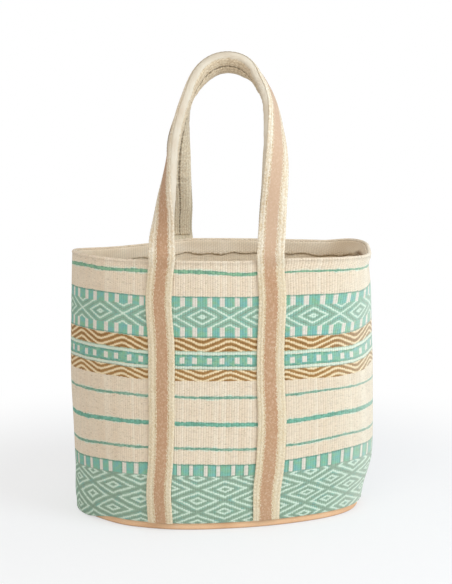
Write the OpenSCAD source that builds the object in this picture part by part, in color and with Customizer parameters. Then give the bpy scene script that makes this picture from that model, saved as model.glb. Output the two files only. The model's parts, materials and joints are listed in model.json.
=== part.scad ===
// Woven market basket: an oval cloth body sewn on a leather base, with four straps
// sewn up its faces that rise over the rim as two padded carrying handles.
// Millimetres. +Z is up, the long axis of the oval is X, and the front faces -Y.
// The origin is the middle of the underside of the base.

/* [Body] */
// Width of the cloth body at its fullest
body_w = 400; // [340:1:460]
// Front-to-back depth of the cloth body at its fullest
body_d = 236; // [180:1:280]
// Height of the rim above the ground
body_h = 348; // [280:1:420]
// Height at which the body is fullest
full_z = 190; // [140:1:240]
// How much narrower the rim is than the fullest part, over the whole width and depth
rim_draw = 10; // [0:1:20]
// Thickness of the woven cloth
wall_t = 4; // [2:0.5:6]
// Squareness of the oval, where 2 is a plain ellipse
squareness = 2.3; // [2:0.05:2.8]

/* [Base] */
// How much narrower the leather base is than the fullest part, over the whole width and depth
base_draw = 28; // [20:1:40]
// Thickness of the leather
leather_t = 2.5; // [1.5:0.5:4]
// Height of the leather that shows below the cloth
leather_show = 10; // [6:1:16]
// Height of leather that laps up behind the cloth
leather_lap = 14; // [8:1:24]
// Radius of the lower edge of the leather sole
sole_r = 2; // [1:0.25:2.5]
// Thickness of the stiffening board
board_t = 3; // [2:0.5:5]
// Thickness of the cloth floor that covers the board
lining_t = 1.5; // [1:0.5:3]

/* [Rim and seams] */
// Height of the tape sewn round the inside of the rim
rim_tape_h = 19; // [12:1:30]
// Thickness of the rim tape
rim_tape_t = 2; // [1:0.5:3]
// Width of the tape that covers each side seam inside
seam_tape_w = 20; // [14:1:30]
// Thickness of the side seam tapes
seam_tape_t = 1.5; // [1:0.5:3]

/* [Straps] */
// Width of the strap webbing
strap_w = 32; // [24:1:44]
// Thickness of the strap webbing
strap_t = 3; // [2:0.5:4]
// Distance between the centres of the two front straps
front_spacing = 135; // [110:1:170]
// Distance between the centres of the two back straps
back_spacing = 127; // [110:1:170]
// Height that the sewn straps reach above the rim
strap_over = 4; // [2:0.5:8]

/* [Handles] */
// Height of the top of the handles above the rim
handle_rise = 253; // [200:1:300]
// Height of the rounded arch at the top of each handle
arch_h = 124; // [90:1:150]
// How far the legs bow outwards before they reach the arch
leg_bow = 4; // [0:1:10]
// How far the top of each handle sways towards +X
handle_sway = 10; // [0:1:20]
// How far the left leg of the front handle draws in on its way up
front_draw = 12; // [0:0.5:14]
// How far the left leg of the back handle draws in on its way up
back_draw = 4.5; // [0:0.5:14]
// Width of the padded handle
handle_w = 33; // [26:1:44]
// Thickness of the padded handle at its top
handle_t = 14; // [11:0.5:18]
// Length of flat webbing between the fold and the padding
flat_len = 26; // [20:1:40]
// Length over which the padding swells to its full thickness
swell_len = 60; // [30:1:90]
// Thickness of the strip that backs the padding
backing_t = 2; // [1:0.5:3]
// How far the ends of the backing strip stay inside the edges of the webbing
backing_inset = 2; // [1:0.5:4]

/* [Clearances] */
// Clearance between pieces that are sewn face to face
seam_gap = 0.3; // [0.2:0.05:0.6]
// Height of the fold line above the top of a sewn strap
fold_gap = 0.6; // [0.4:0.1:1.2]
// How far each handle's top stands off from touching the other
lean_gap = 0.4; // [0.3:0.1:2]
// Clearance round the padding inside a handle
padding_gap = 0.8; // [0.6:0.1:1.2]

/* [Hidden] */

CLOTH = [0.91, 0.85, 0.76];
TURQUOISE = [0.45, 0.75, 0.68];
WEBBING = [0.80, 0.64, 0.52];
LEATHER = [0.83, 0.66, 0.51];
CANVAS = [0.86, 0.80, 0.70];
BOARD = [0.62, 0.50, 0.38];

PANEL_STEPS = 40;   // segments round half of the oval
PANEL_ROWS = 11;    // rows up the height of a panel
OVAL_STEPS = 80;    // segments round the whole oval
STRAP_ROWS = 16;    // rows up a sewn strap
STRAP_COLUMNS = 4;  // columns across a sewn strap
TAPE_COLUMNS = 4;   // columns across a seam tape
LEG_STEPS = 8;      // stations along a handle leg
ARCH_STEPS = 22;    // stations round a handle arch
PADDING_STEPS = 12; // segments round the padding's section
DRAW_START = 0.2;       // share of a handle's reach over which its left leg starts to draw in
FULL_TURN = 104;        // angle that the webbing has turned through at the top
TOP_TURN = 0.75;        // share of a handle's reach where the last part of its turn starts
SECTION_POWER = 2 / 3;  // squareness of the padded section
WRAP_ANGLE = 8;         // how far the webbing wraps past the widest line of the section
SEAM_ANGLE = 8;         // opening between the edges of the webbing and the backing
WEBBING_SPAN = [-WRAP_ANGLE, 180 + WRAP_ANGLE];
BACKING_SPAN = [180 + WRAP_ANGLE + SEAM_ANGLE, 360 - WRAP_ANGLE - SEAM_ANGLE];
WEBBING_STEPS = 10;     // segments across the handle's webbing
BACKING_STEPS = 8;      // segments across the backing
PADDING_START = 0.4;    // swell at which the padding begins
ROW_CROWDING = 1.2;     // how strongly the rows crowd towards the foot
LEAN_SHARE = 0.485;     // share of its width at which a leaning handle clears the middle
EDGE_R = min(2, wall_t / 2);  // rounding of the folded rim

cloth_z = leather_show;                        // lower edge of the cloth
foot_w = body_w - base_draw + 2 * (wall_t + seam_gap);   // outer width of the cloth there
foot_d = body_d - base_draw + 2 * (wall_t + seam_gap);   // outer depth of the cloth there
base_w = body_w - base_draw;
base_d = body_d - base_draw;
strap_top = body_h + strap_over;
fold_r = strap_t / 2;                          // round end of the handle's webbing
fold_z = strap_top + fold_gap;                 // height of the fold line
apex_y = handle_w * LEAN_SHARE + lean_gap;         // distance of each handle's top from the middle
apex_z = body_h + handle_rise - handle_t / 2;  // height of the middle of the handle's top

// Share of the full size that is drawn in at height z: 1 at the foot, 0 at the fullest.
function foot_share(z) = z < full_z ? pow(1 - max(0, z - cloth_z) / (full_z - cloth_z), 3) : 0;
function rim_share(z) = z > full_z ? pow((min(z, body_h) - full_z) / (body_h - full_z), 2) : 0;

// Half width and half depth of the cloth's outer face at height z.
function half_w(z) = (body_w - (body_w - foot_w) * foot_share(z) - rim_draw * rim_share(z)) / 2;
function half_d(z) = (body_d - (body_d - foot_d) * foot_share(z) - rim_draw * rim_share(z)) / 2;

// A point of the oval with half sizes a and b at the angle t.
function signed_pow(v, p) = sign(v) * pow(abs(v), p);
function oval_point(a, b, t) = [
    a * signed_pow(cos(t), 2 / squareness),
    b * signed_pow(sin(t), 2 / squareness)
];

// Half depth of an oval with half sizes a and b at the distance x from its middle.
function oval_depth(a, b, x) = b * pow(1 - pow(abs(x) / a, squareness), 1 / squareness);

// Half width of the same oval at the distance y from its middle.
function oval_width(a, b, y) = a * pow(1 - pow(abs(y) / b, squareness), 1 / squareness);

function reversed(list) = [for (i = [len(list) - 1 : -1 : 0]) list[i]];

// The sides between one ring of points and the next, as triangles.
function ring_sides(from, to, count) = [
    for (j = [0 : count - 1])
        let (k = (j + 1) % count)
        each [[from + j, to + j, to + k], [from + j, to + k, from + k]]
];

// The faces of one end of a strip whose ring runs out along one side and back along the other.
function strip_cap(first, count) = [
    for (j = [0 : count / 2 - 2])
        let (k = count - 1 - j)
        each [[first + j, first + j + 1, first + k - 1], [first + j, first + k - 1, first + k]]
];

// A solid strip made of rings that each hold the same number of points.
module stacked_strips(rings) {
    count = len(rings[0]);
    last = len(rings) - 1;
    polyhedron(
        points = [for (ring = rings) each ring],
        faces = [
            each strip_cap(0, count),
            for (i = [0 : last - 1]) each ring_sides(i * count, (i + 1) * count, count),
            for (f = strip_cap(last * count, count)) reversed(f)
        ],
        convexity = 8
    );
}

// A solid made of rings that each hold the same number of points, closed by its end rings.
module stacked_rings(rings) {
    count = len(rings[0]);
    last = len(rings) - 1;
    polyhedron(
        points = [for (ring = rings) each ring],
        faces = [
            [for (j = [0 : count - 1]) j],
            for (i = [0 : last - 1]) each ring_sides(i * count, (i + 1) * count, count),
            [for (j = [count - 1 : -1 : 0]) last * count + j]
        ],
        convexity = 8
    );
}

// A ring of rings: the same, joined end to end with no end faces.
module closed_rings(rings) {
    count = len(rings[0]);
    total = len(rings);
    polyhedron(
        points = [for (ring = rings) each ring],
        faces = [
            for (i = [0 : total - 1]) each ring_sides(i * count, ((i + 1) % total) * count, count)
        ],
        convexity = 8
    );
}

// One upright section of a wall at the angle t. The profile holds [inset, z] pairs.
function wall_section(profile, t) = [
    for (p = profile)
        let (xy = oval_point(half_w(p[1]) - p[0], half_d(p[1]) - p[0], t)) [xy[0], xy[1], p[1]]
];

// Heights from z0 to z1, closer together near z0.
function levels(z0, z1, rows) = [for (i = [0 : rows]) z0 + (z1 - z0) * pow(i / rows, ROW_CROWDING)];

// Section of a cloth panel: up the outer face, round the folded rim and down the inner face.
function panel_profile() = let (top = body_h - EDGE_R, rows = levels(cloth_z, top, PANEL_ROWS)) [
    for (z = rows) [0, z],
    for (a = [45 : 45 : 135]) [wall_t / 2 - wall_t / 2 * cos(a), top + EDGE_R * sin(a)],
    for (i = [PANEL_ROWS : -1 : 0]) [wall_t, rows[i]]
];

module woven_panel(t0) {
    stacked_rings([
        for (i = [0 : PANEL_STEPS]) wall_section(panel_profile(), t0 + 180 * i / PANEL_STEPS)
    ]);
}

module woven_front_panel() {
    color(TURQUOISE) woven_panel(180);
}

module woven_back_panel() {
    color(CLOTH) woven_panel(0);
}

// Tape over a side seam: it runs up the inner face from the leather to the rim tape.
module side_seam_tape(side) {
    near = wall_t + seam_gap;
    low = leather_show + leather_lap + seam_gap;
    high = body_h - EDGE_R - rim_tape_h - seam_gap;
    ys = [for (i = [0 : TAPE_COLUMNS]) seam_tape_w * (i / TAPE_COLUMNS - 0.5)];
    rings = [
        for (z = levels(low, high, PANEL_ROWS)) [
            for (i = [0 : TAPE_COLUMNS]) tape_point(side, near, ys[i], z),
            for (i = [TAPE_COLUMNS : -1 : 0]) tape_point(side, near + seam_tape_t, ys[i], z)
        ]
    ];
    stacked_strips(side < 0 ? rings : [for (i = [PANEL_ROWS : -1 : 0]) rings[i]]);
}

function tape_point(side, inset, y, z) =
    [side * oval_width(half_w(z) - inset, half_d(z) - inset, y), y, z];

module side_seam_tape_left() {
    color(CANVAS) side_seam_tape(-1);
}

module side_seam_tape_right() {
    color(CANVAS) side_seam_tape(1);
}

// Tape round the inside of the rim.
module rim_tape() {
    near = wall_t + seam_gap;
    far = near + rim_tape_t;
    high = body_h - EDGE_R;
    low = high - rim_tape_h;
    profile = [[near, low], [near, high], [far, high], [far, low]];
    color(CANVAS) closed_rings([
        for (i = [0 : OVAL_STEPS - 1]) wall_section(profile, 360 * i / OVAL_STEPS)
    ]);
}

// One level ring of the base, inset from the outer face of the leather.
function base_ring(z, inset) = [
    for (i = [0 : OVAL_STEPS - 1])
        let (xy = oval_point(base_w / 2 - inset, base_d / 2 - inset, -360 * i / OVAL_STEPS))
        [xy[0], xy[1], z]
];

// Leather sole: a flat oval with a rounded lower edge.
module leather_sole() {
    color(LEATHER) stacked_rings([
        for (a = [0 : 30 : 90]) base_ring(sole_r - sole_r * cos(a), sole_r - sole_r * sin(a)),
        base_ring(leather_t, 0)
    ]);
}

// Leather band: it stands on the edge of the sole and laps up behind the cloth.
module leather_band() {
    outer = wall_t + seam_gap;
    heights = [leather_t, cloth_z, leather_show + leather_lap];
    profile = [
        for (z = heights) [outer, z],
        for (z = reversed(heights)) [outer + leather_t, z]
    ];
    color(LEATHER) closed_rings([
        for (i = [OVAL_STEPS - 1 : -1 : 0]) wall_section(profile, 360 * i / OVAL_STEPS)
    ]);
}

// A flat oval sheet inset from the leather's outer face.
module base_sheet(z, thickness, inset) {
    translate([0, 0, z])
        linear_extrude(thickness)
            polygon([for (p = base_ring(0, inset)) [p[0], p[1]]]);
}

module base_board() {
    color(BOARD) base_sheet(leather_t, board_t, leather_t + seam_gap);
}

module base_lining() {
    color(CANVAS) base_sheet(leather_t + board_t, lining_t, leather_t + seam_gap);
}

// Webbing sewn flat on the outer face, centred at x, on the front (side -1) or back (side 1).
module sewn_strap(x, side) {
    rows = levels(cloth_z + seam_gap, strap_top, STRAP_ROWS);
    xs = [for (i = [0 : STRAP_COLUMNS]) x + strap_w * (i / STRAP_COLUMNS - 0.5)];
    rings = [
        for (z = rows) [
            for (i = [0 : STRAP_COLUMNS]) strap_point(xs[i], z, seam_gap, side),
            for (i = [STRAP_COLUMNS : -1 : 0]) strap_point(xs[i], z, seam_gap + strap_t, side)
        ]
    ];
    stacked_strips(side < 0 ? [for (i = [STRAP_ROWS : -1 : 0]) rings[i]] : rings);
}

function strap_point(x, z, off, side) = [x, side * (oval_depth(half_w(z), half_d(z), x) + off), z];

module front_strap_left() {
    color(WEBBING) sewn_strap(-front_spacing / 2, -1);
}

module front_strap_right() {
    color(WEBBING) sewn_strap(front_spacing / 2, -1);
}

module back_strap_left() {
    color(WEBBING) sewn_strap(-back_spacing / 2, 1);
}

module back_strap_right() {
    color(WEBBING) sewn_strap(back_spacing / 2, 1);
}

// A handle's loop: distance between its straps, how far its left leg draws in, and a power
// that puts the peak of that draw above 1 nearer the top, or below 1 nearer the rim.
FRONT_LOOP = [front_spacing, front_draw, 1.5];
BACK_LOOP = [back_spacing, back_draw, 0.65];

// Distance of a loop's fold line from the middle of the basket. The handle's webbing stands
// just in front of the whole sewn strap, so it can hang over it.
function fold_y(loop) =
    oval_depth(half_w(body_h), half_d(body_h), (loop[0] - strap_w) / 2)
    + seam_gap + strap_t + seam_gap + fold_r;

// Length and lean of a handle, measured in its own leaning plane from the fold line.
function reach(loop) = norm([fold_y(loop) - apex_y, apex_z - fold_z]);
function lean(loop) = atan2(fold_y(loop) - apex_y, apex_z - fold_z);
function leg_len(loop) = reach(loop) - arch_h;

// Middle line of a handle in its plane, as [x, height] pairs from its left end to its right end.
function swayed(p, loop) =
    let (
        t = max(0, p[1]) / reach(loop),
        draw = p[0] < 0 ? loop[1] * sin(180 * pow(t, loop[2])) * eased(t / DRAW_START) : 0
    )
    [p[0] + handle_sway * pow(t, 2) + draw, p[1]];
function leg_point(loop, end, h) = swayed(
    [end * (loop[0] / 2 + leg_bow * sin(90 * max(0, h) / leg_len(loop))), h], loop);
function arch_point(loop, a) = swayed(
    [(loop[0] / 2 + leg_bow) * cos(a), leg_len(loop) + arch_h * sin(a)], loop);
function leg_heights(loop) = concat(
    [for (a = [75, 40]) -fold_r * sin(a)],
    [0, flat_len / 2],
    [for (i = [0 : LEG_STEPS - 1]) flat_len + (leg_len(loop) - flat_len) * i / LEG_STEPS]
);
function handle_line(loop) = let (hs = leg_heights(loop)) [
    for (h = hs) leg_point(loop, -1, h),
    for (i = [0 : ARCH_STEPS]) arch_point(loop, 180 - 180 * i / ARCH_STEPS),
    for (i = [len(hs) - 1 : -1 : 0]) leg_point(loop, 1, hs[i])
];

// The webbing turns from facing forwards at the fold to facing out at the arch. Each handle
// has the [start, end, angle] of that turn for its left and right legs, with the start and end
// as shares of its reach. A last part of the turn follows over the top.
FRONT_TURN = [[0.02, 0.52, 86], [0.34, 1, 100]];
BACK_TURN = [[0.33, 0.88, 90], [0.33, 0.88, 90]];
function eased(v) = let (c = max(0, min(1, v))) c * c * (3 - 2 * c);
function turn_angle(turn, p, loop) =
    let (leg = turn[p[0] < handle_sway ? 0 : 1], t = p[1] / reach(loop))
    leg[2] * eased((t - leg[0]) / (leg[1] - leg[0]))
    + (FULL_TURN - leg[2]) * eased((t - TOP_TURN) / (1 - TOP_TURN));

// Frame of a station: [middle, direction across the width, direction out of the outer face].
function station_frame(line, i, turn, loop) =
    let (
        last = len(line) - 1,
        ahead = line[min(last, i + 1)] - line[max(0, i - 1)],
        along = ahead / norm(ahead),
        outward = [-along[1], along[0]],
        angle = turn_angle(turn, line[i], loop),
        face = [sin(angle) * outward[0], sin(angle) * outward[1], cos(angle)],
        across = cross([along[0], along[1], 0], face)
    )
    [[line[i][0], line[i][1], 0], across, face];

// From the handle's plane to the basket: x stays, height leans inwards, the face looks forwards.
function leaned(p, loop) = let (a = lean(loop)) [
    p[0],
    -fold_y(loop) + p[1] * sin(a) - p[2] * cos(a),
    fold_z + p[1] * cos(a) + p[2] * sin(a)
];

// How far the padding has swollen at a height above the fold line: 0 is flat webbing.
function swell(h) = eased((h - flat_len) / swell_len);

// Thickness factor of the webbing at its round end, below the fold line.
function end_round(h) = h < 0 ? sqrt(1 - pow(h / fold_r, 2)) : 1;

// A point at the angle a of the padded section drawn in by inset.
function section_point(inset, a) = [
    (handle_w / 2 - inset) * signed_pow(cos(a), SECTION_POWER),
    (handle_t / 2 - inset) * signed_pow(sin(a), SECTION_POWER)
];
function spread(span, steps) = [for (i = [0 : steps]) span[0] + (span[1] - span[0]) * i / steps];

// One side of the handle's section: flat at the half width w and height y where the webbing is
// flat, and following the padded section, drawn in by inset, where the padding has swollen.
function section_side(m, w, y, inset, span, steps) = let (list = spread(span, steps)) [
    for (i = [0 : steps])
        (1 - m) * [w * cos(180 * i / steps), y] + m * section_point(inset, list[i])
];

// Outer webbing: flat at the fold, wrapped over the padding and down its sides on the arch.
function webbing_outline(h) = let (m = swell(h), y = fold_r * end_round(h), w = strap_w / 2) concat(
    section_side(m, w, y, 0, WEBBING_SPAN, WEBBING_STEPS),
    reversed(section_side(m, w, -y, strap_t, WEBBING_SPAN, WEBBING_STEPS))
);

// Backing strip: lies under the flat webbing at its ends and under the padding on the arch.
function backing_outline(h) =
    let (m = swell(h), top = -fold_r - seam_gap, w = backing_inset - strap_w / 2)
    concat(
        section_side(m, w, top - backing_t, 0, BACKING_SPAN, BACKING_STEPS),
        reversed(section_side(m, w, top, backing_t, BACKING_SPAN, BACKING_STEPS))
    );

// Padding between the two, which fills the room they leave.
function padding_outline(h) =
    let (
        m = swell(h),
        roof = m * (handle_t / 2 - strap_t) - (1 - m) * fold_r - padding_gap,
        ground = -m * (handle_t / 2 - backing_t) - (1 - m) * (fold_r + seam_gap) + padding_gap,
        w = handle_w / 2 - strap_t - padding_gap
    ) [
    for (i = [0 : PADDING_STEPS - 1])
        let (a = 360 * i / PADDING_STEPS) [
            w * signed_pow(cos(a), SECTION_POWER),
            (roof + ground) / 2 + (roof - ground) / 2 * signed_pow(sin(a), SECTION_POWER)
        ]
];

// The outline at a station, set in the basket's frame.
function placed(outline, frame, loop) = [
    for (q = outline) leaned(frame[0] + frame[1] * q[0] + frame[2] * q[1], loop)
];

module handle_webbing(loop, turn) {
    line = handle_line(loop);
    stacked_strips([
        for (i = [0 : len(line) - 1])
            placed(webbing_outline(line[i][1]), station_frame(line, i, turn, loop), loop)
    ]);
}

module handle_backing(loop, turn) {
    line = handle_line(loop);
    used = [for (i = [0 : len(line) - 1]) if (line[i][1] > 0.9 * flat_len) i];
    stacked_strips([
        for (i = used)
            placed(backing_outline(line[i][1]), station_frame(line, i, turn, loop), loop)
    ]);
}

module handle_padding(loop, turn) {
    line = handle_line(loop);
    used = [for (i = [0 : len(line) - 1]) if (swell(line[i][1]) > PADDING_START) i];
    stacked_rings([
        for (i = used)
            placed(padding_outline(line[i][1]), station_frame(line, i, turn, loop), loop)
    ]);
}

module front_handle_webbing() {
    color(WEBBING) handle_webbing(FRONT_LOOP, FRONT_TURN);
}

module front_handle_backing() {
    color(CLOTH) handle_backing(FRONT_LOOP, FRONT_TURN);
}

module front_handle_padding() {
    color(CANVAS) handle_padding(FRONT_LOOP, FRONT_TURN);
}

module back_handle_webbing() {
    color(WEBBING) mirror([0, 1, 0]) handle_webbing(BACK_LOOP, BACK_TURN);
}

module back_handle_backing() {
    color(CLOTH) mirror([0, 1, 0]) handle_backing(BACK_LOOP, BACK_TURN);
}

module back_handle_padding() {
    color(CANVAS) mirror([0, 1, 0]) handle_padding(BACK_LOOP, BACK_TURN);
}

woven_front_panel();
woven_back_panel();
side_seam_tape_left();
side_seam_tape_right();
rim_tape();
leather_sole();
leather_band();
base_board();
base_lining();
front_strap_left();
front_strap_right();
back_strap_left();
back_strap_right();
front_handle_webbing();
front_handle_backing();
front_handle_padding();
back_handle_webbing();
back_handle_backing();
back_handle_padding();
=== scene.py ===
import json
import math
import bmesh
import bpy
import numpy as np
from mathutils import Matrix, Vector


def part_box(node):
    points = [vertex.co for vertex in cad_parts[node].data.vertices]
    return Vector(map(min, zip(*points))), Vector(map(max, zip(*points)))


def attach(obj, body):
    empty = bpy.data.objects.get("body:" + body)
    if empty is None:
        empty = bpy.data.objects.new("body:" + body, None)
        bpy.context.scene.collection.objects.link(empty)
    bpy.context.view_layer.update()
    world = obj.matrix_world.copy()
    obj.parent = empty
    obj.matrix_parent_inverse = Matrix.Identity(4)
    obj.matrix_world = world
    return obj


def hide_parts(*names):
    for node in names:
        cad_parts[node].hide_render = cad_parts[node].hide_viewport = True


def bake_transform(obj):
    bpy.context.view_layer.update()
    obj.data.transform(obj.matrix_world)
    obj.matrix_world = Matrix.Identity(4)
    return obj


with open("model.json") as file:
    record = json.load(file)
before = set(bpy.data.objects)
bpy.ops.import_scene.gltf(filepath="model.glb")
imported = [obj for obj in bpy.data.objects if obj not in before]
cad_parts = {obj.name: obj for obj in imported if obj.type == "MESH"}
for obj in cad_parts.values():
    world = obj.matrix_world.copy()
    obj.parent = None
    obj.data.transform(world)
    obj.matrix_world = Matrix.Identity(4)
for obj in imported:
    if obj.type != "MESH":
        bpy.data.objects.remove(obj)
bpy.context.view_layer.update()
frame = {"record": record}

MM = 0.001


def corners(node):
    """Lowest and highest corner of a CAD node in millimetres."""
    return [np.array(corner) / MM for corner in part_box(node)]


def eased(share):
    share = np.clip(share, 0, 1)
    return share * share * (3 - 2 * share)


def powered(value, power):
    return np.sign(value) * np.abs(value) ** power


# ---------------------------------------------------------------- sizes from the CAD frame
panel_low, panel_high = corners("woven_front_panel")
sole_high = corners("leather_sole")[1]
CLOTH_Z, RIM_Z = panel_low[2], panel_high[2]
FULL_W, FULL_D = panel_high[0], -panel_low[1]
LAP = 4.3                # from the cloth's outer face to the leather's outer face
WALL = 4.0               # thickness of the cloth
FOOT_W, FOOT_D = sole_high[0] + LAP, sole_high[1] + LAP
FULL_Z = 190.0           # height at which the body is fullest
RIM_DRAW = 5.0           # how much each side draws in at the rim
CORNER = 2.3             # squareness of the oval
STRAP_W = 33.4           # width of the webbing with its corded edges
STRAP_SPLAY = 2.2        # how far each strap runs outwards on its way down
STRAP_OFF = 1.8          # middle of a sewn strap, out from the cloth
STITCH_PITCH = 5.0       # from the start of one stitch to the start of the next
STITCH_LEN = 3.2         # length of a stitch

RIBS = 330               # ribs in the weave round the whole body
REPEAT_RIBS = 22         # ribs in one repeat of the pattern


# ---------------------------------------------------------------- shape of the cloth body
def half_sizes(z):
    """Half width and half depth of the cloth's outer face at height z."""
    z = np.asarray(z, float)
    foot = np.clip(1 - np.clip(z - CLOTH_Z, 0, None) / (FULL_Z - CLOTH_Z), 0, 1) ** 3
    rim = np.clip((z - FULL_Z) / (RIM_Z - FULL_Z), 0, 1) ** 2
    return (FULL_W - (FULL_W - FOOT_W) * foot - RIM_DRAW * rim,
            FULL_D - (FULL_D - FOOT_D) * foot - RIM_DRAW * rim)


def measure_oval(half_w, half_d, power):
    """Unit points of an oval, and arc lengths from 0 in the middle of its front."""
    turn = np.linspace(-1.5 * np.pi, 0.5 * np.pi, 40001)
    c, s = np.cos(turn), np.sin(turn)
    r = (np.abs(c / half_w) ** power + np.abs(s / half_d) ** power) ** (-1 / power)
    x, y = r * c, r * s
    arc = np.concatenate([[0], np.cumsum(np.hypot(np.diff(x), np.diff(y)))])
    return arc - arc[-1] / 2, x / half_w, y / half_d


OVAL_ARC, OVAL_X, OVAL_Y = measure_oval(FULL_W, FULL_D, CORNER)
ROUND = 2 * OVAL_ARC[-1]         # arc length round the body at its fullest
RIB = ROUND / RIBS
SIDE = ROUND / 4                 # arc length from the middle of the front to a side seam


def unit_oval(u):
    wrapped = (np.asarray(u, float) + ROUND / 2) % ROUND - ROUND / 2
    return np.interp(wrapped, OVAL_ARC, OVAL_X), np.interp(wrapped, OVAL_ARC, OVAL_Y)


def arc_at(x, side):
    """Arc length of the point at x on the front (side -1) or the back (side 1)."""
    front = np.abs(OVAL_ARC) <= SIDE
    u = np.interp(x / FULL_W, OVAL_X[front], OVAL_ARC[front])
    return u if side < 0 else ROUND / 2 - u


rng = np.random.default_rng(7)
SWELLS = [
    (rng.integers(2, 9), rng.uniform(120, 320), rng.uniform(0, 2 * np.pi), rng.uniform(-1, 1))
    for _ in range(12)
]


def lumps(u, z):
    """Soft unevenness of the cloth, about 1 mm either way."""
    total = 0
    for waves, height, phase, share in SWELLS:
        total = total + share * np.sin(2 * np.pi * (waves * u / ROUND + z / height) + phase)
    return 0.34 * total * eased((z - 8) / 50)


def settle(x, y, z, u):
    """Moves points of a perfect body to where the soft one has settled."""
    near_rim = eased((z - 262) / 84)
    right, left = eased((x - 10) / 150), eased((-x - 10) / 170)

    # the right end of the rim is squarer, and its lip stands out
    across, deep = np.abs(x) / FULL_W, np.abs(y) / FULL_D
    round_size = (across ** CORNER + deep ** CORNER) ** (1 / CORNER)
    square_size = (across ** 4 + deep ** 4) ** 0.25
    boxy = 0.75 * eased((z - 230) / 110) * eased((x - 40) / 120)
    grow = 1 + boxy * (round_size / np.maximum(square_size, 1e-6) - 1)
    x, y = x * grow, y * grow
    x = x + right * (3.5 * eased((z - 334) / 10) - 1.5 * eased((z - 300) / 30))

    # the left end of the rim is pinched and hangs forwards a little
    pinch = near_rim * eased((-x - 55) / 110)
    y = y * (1 - np.where(y > 0, 0.5, 0.06) * pinch) - 9 * pinch

    # the body leans to the left, bulges low on the right, and its foot is turned a little
    low = eased((210 - z) / 170)
    lean = 4.5 * np.clip((250 - z) / 250, 0, 1) ** 1.2
    belly = 6 * right * eased((z - 25) / 50) * eased((260 - z) / 150)
    waist = 5 * left * eased((z - 15) / 50) * eased((190 - z) / 110)
    x = x - lean * (1 - right) + belly + waist
    forward = 10 + 8 * eased((x + 170) / 60) * eased((30 - x) / 100) - 22 * eased((x + 20) / 180)
    y = y - low * forward

    # the rim rises and dips along its length
    dip = -2.0 * eased((u + 190) / 60) * eased((75 - u) / 60)
    rise = 1.6 * eased((u - 50) / 60) * eased((215 - u) / 60)
    back = eased((y + 30) / 60)
    ends = 5.0 * eased((x - 135) / 50) * back - 3.0 * eased((-x - 40) / 50) * back
    return x, y, z + near_rim * (dip + rise + ends)


def body(u, z, off=0.0):
    """Points off millimetres outside the cloth's face, at arc lengths u and heights z."""
    u, z, off = np.broadcast_arrays(*(np.asarray(v, float) for v in (u, z, off)))
    cx, cy = unit_oval(u)
    a, b = half_sizes(z)
    nx, ny = powered(cx, CORNER - 1) / a, powered(cy, CORNER - 1) / b
    size = np.hypot(nx, ny)
    out = off + lumps(u, z)
    return np.stack(settle(a * cx + out * nx / size, b * cy + out * ny / size, z, u), -1)


def rib_relief(u):
    return np.abs(np.sin(np.pi * (u + SIDE) / RIB)) ** 0.7 - 0.55


# ---------------------------------------------------------------- meshes
def new_piece(name, points, faces, materials=(), uv=None, chosen=None):
    """A mesh object from points in millimetres, with one UV pair per face corner."""
    mesh = bpy.data.meshes.new(name)
    mesh.from_pydata((np.asarray(points, float).reshape(-1, 3) * MM).tolist(), [], faces)
    if uv is not None:
        layer = mesh.uv_layers.new(name="weave")
        layer.data.foreach_set("uv", (np.asarray(uv, float) * MM).ravel().astype(np.float32))
    for material in materials:
        mesh.materials.append(material)
    if chosen is not None:
        mesh.polygons.foreach_set("material_index", np.asarray(chosen, np.int32))
    mesh.polygons.foreach_set("use_smooth", np.full(len(mesh.polygons), True))
    edit = bmesh.new()
    edit.from_mesh(mesh)
    bmesh.ops.recalc_face_normals(edit, faces=edit.faces)
    edit.to_mesh(mesh)
    edit.free()
    piece = bpy.data.objects.new(name, mesh)
    bpy.context.collection.objects.link(piece)
    return piece


def chart_of(across, up):
    """A UV pair for each point of a grid, from what runs across it and what runs up it."""
    return np.stack(np.broadcast_arrays(across, up), -1).astype(float)


def grid_piece(name, grid, chart, materials, roll_rows=False, roll_cols=False, end_chart=None,
               row_choice=None):
    """A closed piece from a grid of points that is rolled up along its rows, its columns or
    both, with a face over each end that stays open. Where it is rolled up, chart holds one
    row or column more than the grid. end_chart is the chart of the end faces, where it isn't
    the same, and row_choice the material of each row of faces."""
    rows, cols = grid.shape[:2]
    r = np.arange(rows if roll_rows else rows - 1)
    c = np.arange(cols if roll_cols else cols - 1)
    r, c = (v.ravel() for v in np.meshgrid(r, c, indexing="ij"))
    corner_rows = np.stack([r, r, r + 1, r + 1], -1)
    corner_cols = np.stack([c, c + 1, c + 1, c], -1)
    faces = ((corner_rows % rows) * cols + corner_cols % cols).tolist()
    uv = [chart[corner_rows, corner_cols].reshape(-1, 2)]
    chosen = None if row_choice is None else [row_choice[row] for row in r]
    ends = [] if roll_cols else [np.s_[:, 0], np.s_[:, -1]]
    ends += [] if roll_rows else [np.s_[0], np.s_[-1]]
    numbers = np.arange(rows * cols).reshape(rows, cols)
    end_chart = chart if end_chart is None else end_chart
    for end in ends:
        faces.append(numbers[end].tolist())
        uv.append(end_chart[:rows, :cols][end])
        if chosen is not None:
            chosen.append(0)
    return new_piece(name, grid, faces, materials, np.concatenate(uv), chosen)


# ---------------------------------------------------------------- material nodes
def paint(red, green, blue):
    """A linear colour from sRGB values of 0 to 255."""
    linear = [
        v / 12.92 if v <= 0.04045 else ((v + 0.055) / 1.055) ** 2.4
        for v in (red / 255, green / 255, blue / 255)
    ]
    return (*linear, 1.0)


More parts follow.
